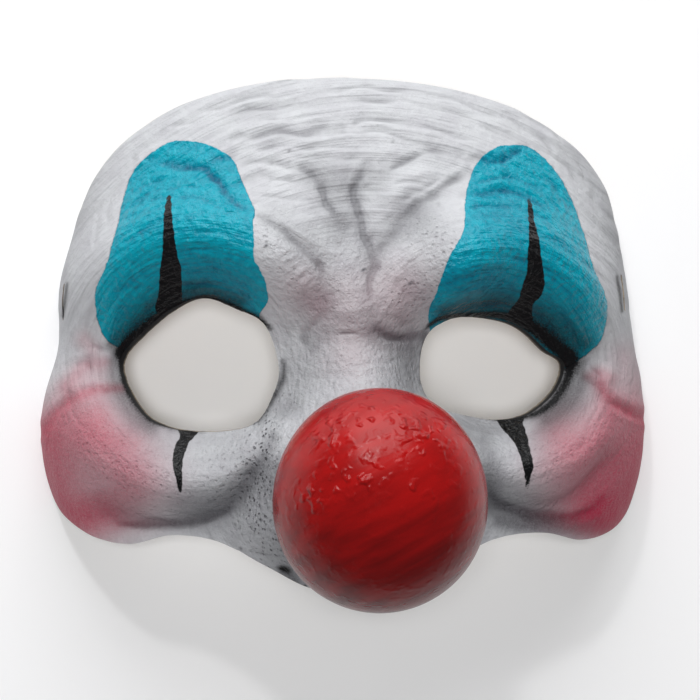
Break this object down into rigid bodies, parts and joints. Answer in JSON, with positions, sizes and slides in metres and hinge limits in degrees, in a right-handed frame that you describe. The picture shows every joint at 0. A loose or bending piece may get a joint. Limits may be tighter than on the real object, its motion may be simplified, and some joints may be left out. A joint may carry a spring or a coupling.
{
  "type": "clown mask",
  "caption": "Wrinkled clown half mask in cast latex, open at the back, with cut eye holes and a round hollow red nose.",
  "frame": {"origin": "middle of the mask's box, on the surface that the rim rests on", "axes": "+X across the face to the viewer's right, +Y up the face to the forehead, +Z out of the face"},
  "size_m": [0.1798, 0.1472, 0.1135],
  "materials": {
    "painted_latex": "semi-gloss painted latex",
    "red_ball": "glossy red paint"
  },
  "bodies": {
    "root": {"face_shell": "painted_latex", "nose_ball": "red_ball"}
  },
  "joints": []
}
